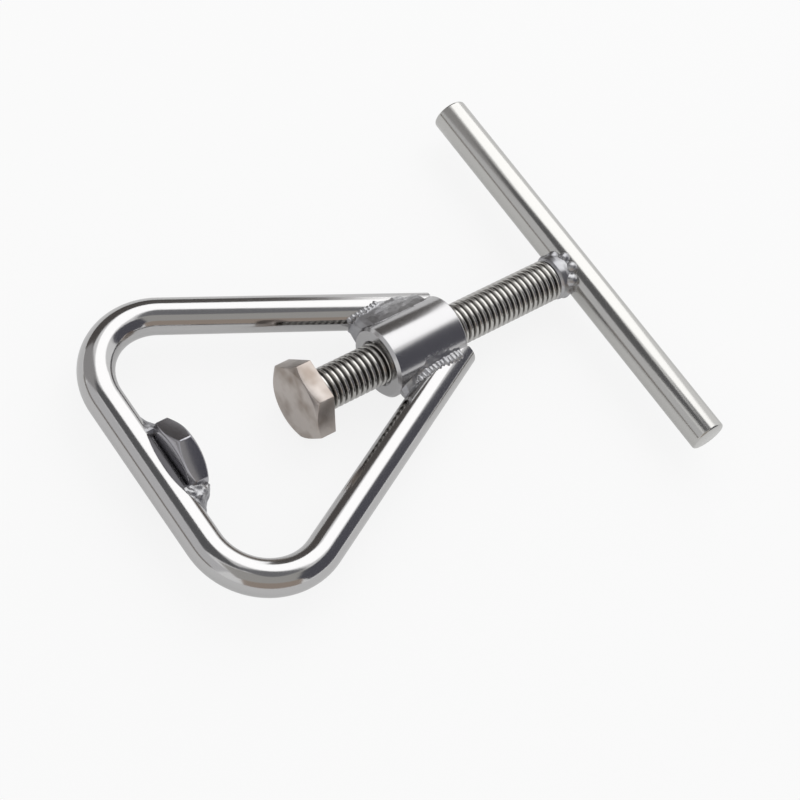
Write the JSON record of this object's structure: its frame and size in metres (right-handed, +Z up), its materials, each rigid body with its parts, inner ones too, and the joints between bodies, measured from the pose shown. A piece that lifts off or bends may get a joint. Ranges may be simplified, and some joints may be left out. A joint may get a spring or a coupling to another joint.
{
  "type": "screw press nutcracker",
  "caption": "Hand screw press for hard nuts: a triangular bent-rod frame, a guide sleeve at its apex, and a threaded bolt with a hexagon head turned by a cross bar.",
  "frame": {"origin": "on the surface the press lies on, under the middle of its bounding box with the screw in its rest position", "axes": "+X along the screw from the frame's base to the cross bar, +Y across the frame, +Z up with the frame lying flat"},
  "size_m": [0.1507, 0.124, 0.0226],
  "materials": {
    "polished_rod": "polished stainless steel",
    "turned_sleeve": "finely turned stainless steel",
    "jaw_steel": "satin stainless steel",
    "weld_metal": "rippled weld metal",
    "bolt_thread": "rolled thread",
    "bolt_head": "fine brushed steel",
    "polished_bar": "polished stainless steel"
  },
  "bodies": {
    "frame": {"frame_rod": "polished_rod", "sleeve": "turned_sleeve", "jaw_nut": "jaw_steel", "sleeve_weld_upper": "weld_metal", "sleeve_weld_lower": "weld_metal", "jaw_weld_upper": "weld_metal", "jaw_weld_lower": "weld_metal"},
    "screw": {"bolt_shank": "bolt_thread"},
    "handle": {"bolt_head": "bolt_head", "cross_bar": "polished_bar", "bar_weld": "weld_metal"}
  },
  "joints": [
    {"name": "screw_feed", "type": "slide", "parent": "frame", "child": "screw", "axis": [1, 0, 0], "range_m": [-0.033, 0.0205]},
    {"name": "screw_turn", "type": "hinge", "parent": "screw", "child": "handle", "pos_m": [0.07015, 0, 0.01132], "axis": [1, 0, 0], "range_deg": [-6788, 4217]}
  ],
  "couplings": [
    {"joint": "screw_feed", "follows": "screw_turn", "m_per_rad": 0.00027852}
  ]
}
